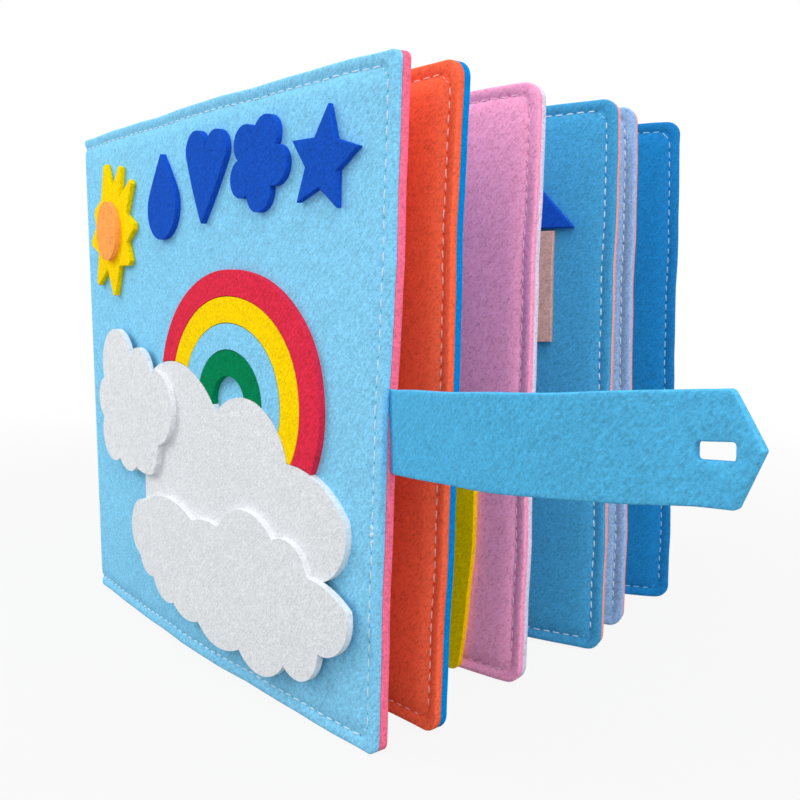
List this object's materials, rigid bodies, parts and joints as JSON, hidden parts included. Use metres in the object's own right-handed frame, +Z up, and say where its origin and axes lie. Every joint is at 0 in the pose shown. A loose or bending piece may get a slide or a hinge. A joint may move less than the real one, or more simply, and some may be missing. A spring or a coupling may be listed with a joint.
{
  "type": "quiet book",
  "caption": "Felt quiet book for toddlers with stiff sewn pages fanned from a square spine, applique sun, clouds and rainbow on the cover, and a strap that wraps round to a button.",
  "frame": {"origin": "middle of the spine's lower edge, in the middle of the spine's outer felt, on the surface the book stands on", "axes": "+Z up along the spine, pages leave the spine towards -Y, front cover on the -X side and back cover on the +X side"},
  "size_m": [0.2853, 0.3346, 0.21],
  "materials": {
    "felt_light_blue": "needle-punched felt",
    "felt_pink_lining": "needle-punched felt",
    "felt_yellow": "needle-punched felt",
    "felt_amber": "needle-punched felt",
    "felt_red": "needle-punched felt",
    "felt_green": "needle-punched felt",
    "felt_white": "needle-punched felt",
    "felt_navy": "needle-punched felt",
    "felt_orange": "needle-punched felt",
    "felt_bright_blue": "needle-punched felt",
    "felt_candy_pink": "needle-punched felt",
    "felt_pale_lilac": "needle-punched felt",
    "felt_sky_blue": "needle-punched felt",
    "felt_salmon": "needle-punched felt",
    "felt_beige": "needle-punched felt",
    "felt_periwinkle": "needle-punched felt",
    "felt_cobalt": "needle-punched felt",
    "felt_mauve": "needle-punched felt",
    "button_plastic": "moulded button",
    "thread": "sewing thread"
  },
  "bodies": {
    "spine": {"spine_outer": "felt_light_blue", "spine_lining": "felt_pink_lining", "front_cover_fold": "felt_light_blue", "back_cover_fold": "felt_light_blue", "binding_strip_1": "felt_light_blue", "binding_strip_2": "felt_light_blue", "binding_strip_3": "felt_light_blue", "binding_strip_4": "felt_light_blue", "binding_strip_5": "felt_light_blue"},
    "front_cover": {"front_cover_outer": "felt_light_blue", "front_cover_lining": "felt_pink_lining", "strap_tongue": "felt_light_blue", "sun_rays": "felt_yellow", "sun_disc": "felt_amber", "rainbow_red": "felt_red", "rainbow_yellow": "felt_yellow", "rainbow_blue": "felt_light_blue", "rainbow_green": "felt_green", "cloud_left": "felt_white", "cloud_middle": "felt_white", "cloud_front": "felt_white", "raindrop_shape": "felt_navy", "heart_shape": "felt_navy", "flower_shape": "felt_navy", "star_shape": "felt_navy"},
    "strap": {"closure_strap": "felt_light_blue"},
    "strap_tip": {"closure_strap_tip": "felt_light_blue"},
    "page_1": {"page_1_front": "felt_orange", "page_1_back": "felt_bright_blue"},
    "page_2": {"page_2_front": "felt_candy_pink", "page_2_back": "felt_pale_lilac", "page_2_pocket": "felt_yellow"},
    "page_3": {"page_3_front": "felt_sky_blue", "page_3_back": "felt_salmon", "page_3_house_wall": "felt_beige", "page_3_house_roof": "felt_navy"},
    "page_4": {"page_4_front": "felt_periwinkle", "page_4_back": "felt_salmon"},
    "page_5": {"page_5_front": "felt_cobalt", "page_5_back": "felt_mauve"},
    "back_cover": {"back_cover_outer": "felt_light_blue", "back_cover_lining": "felt_pink_lining", "closure_button": "button_plastic", "button_thread": "thread"}
  },
  "joints": [
    {"name": "front_cover_hinge", "type": "hinge", "parent": "spine", "child": "front_cover", "pos_m": [-0.0393, -0.0014, 0.1], "axis": [0, 0, 1], "range_deg": [-150, 5.8]},
    {"name": "back_cover_hinge", "type": "hinge", "parent": "spine", "child": "back_cover", "pos_m": [0.0393, -0.0014, 0.1], "axis": [0, 0, -1], "range_deg": [-74, 54]},
    {"name": "page_1_hinge", "type": "hinge", "parent": "spine", "child": "page_1", "pos_m": [-0.0262, -0.00935, 0.1], "axis": [0, 0, 1], "range_deg": [-85.84, 3.8]},
    {"name": "page_2_hinge", "type": "hinge", "parent": "spine", "child": "page_2", "pos_m": [-0.0131, -0.00935, 0.1], "axis": [0, 0, -1], "range_deg": [-8.86, 6.6]},
    {"name": "page_3_hinge", "type": "hinge", "parent": "spine", "child": "page_3", "pos_m": [0, -0.00935, 0.1], "axis": [0, 0, -1], "range_deg": [-21.47, 15.8]},
    {"name": "page_4_hinge", "type": "hinge", "parent": "spine", "child": "page_4", "pos_m": [0.0131, -0.00935, 0.1], "axis": [0, 0, -1], "range_deg": [-26.54, 19.5]},
    {"name": "page_5_hinge", "type": "hinge", "parent": "spine", "child": "page_5", "pos_m": [0.0262, -0.00935, 0.1], "axis": [0, 0, -1], "range_deg": [-39.69, 29.1]},
    {"name": "strap_fold", "type": "hinge", "parent": "front_cover", "child": "strap", "pos_m": [-0.01532, -0.2221, 0.099], "axis": [0, 0, 1], "range_deg": [-45, 74.8]},
    {"name": "strap_tip_fold", "type": "hinge", "parent": "strap", "child": "strap_tip", "pos_m": [-0.00173, -0.30418, 0.10555], "axis": [0, 0, 1], "range_deg": [-61.86, 102.5]}
  ],
  "couplings": [
    {"joint": "page_1_hinge", "follows": "front_cover_hinge", "ratio": 0.56897},
    {"joint": "page_2_hinge", "follows": "back_cover_hinge", "ratio": 0.11296},
    {"joint": "page_3_hinge", "follows": "back_cover_hinge", "ratio": 0.28333},
    {"joint": "page_4_hinge", "follows": "back_cover_hinge", "ratio": 0.35185},
    {"joint": "page_5_hinge", "follows": "back_cover_hinge", "ratio": 0.52963},
    {"joint": "strap_tip_fold", "follows": "strap_fold", "ratio": 1.3636}
  ]
}
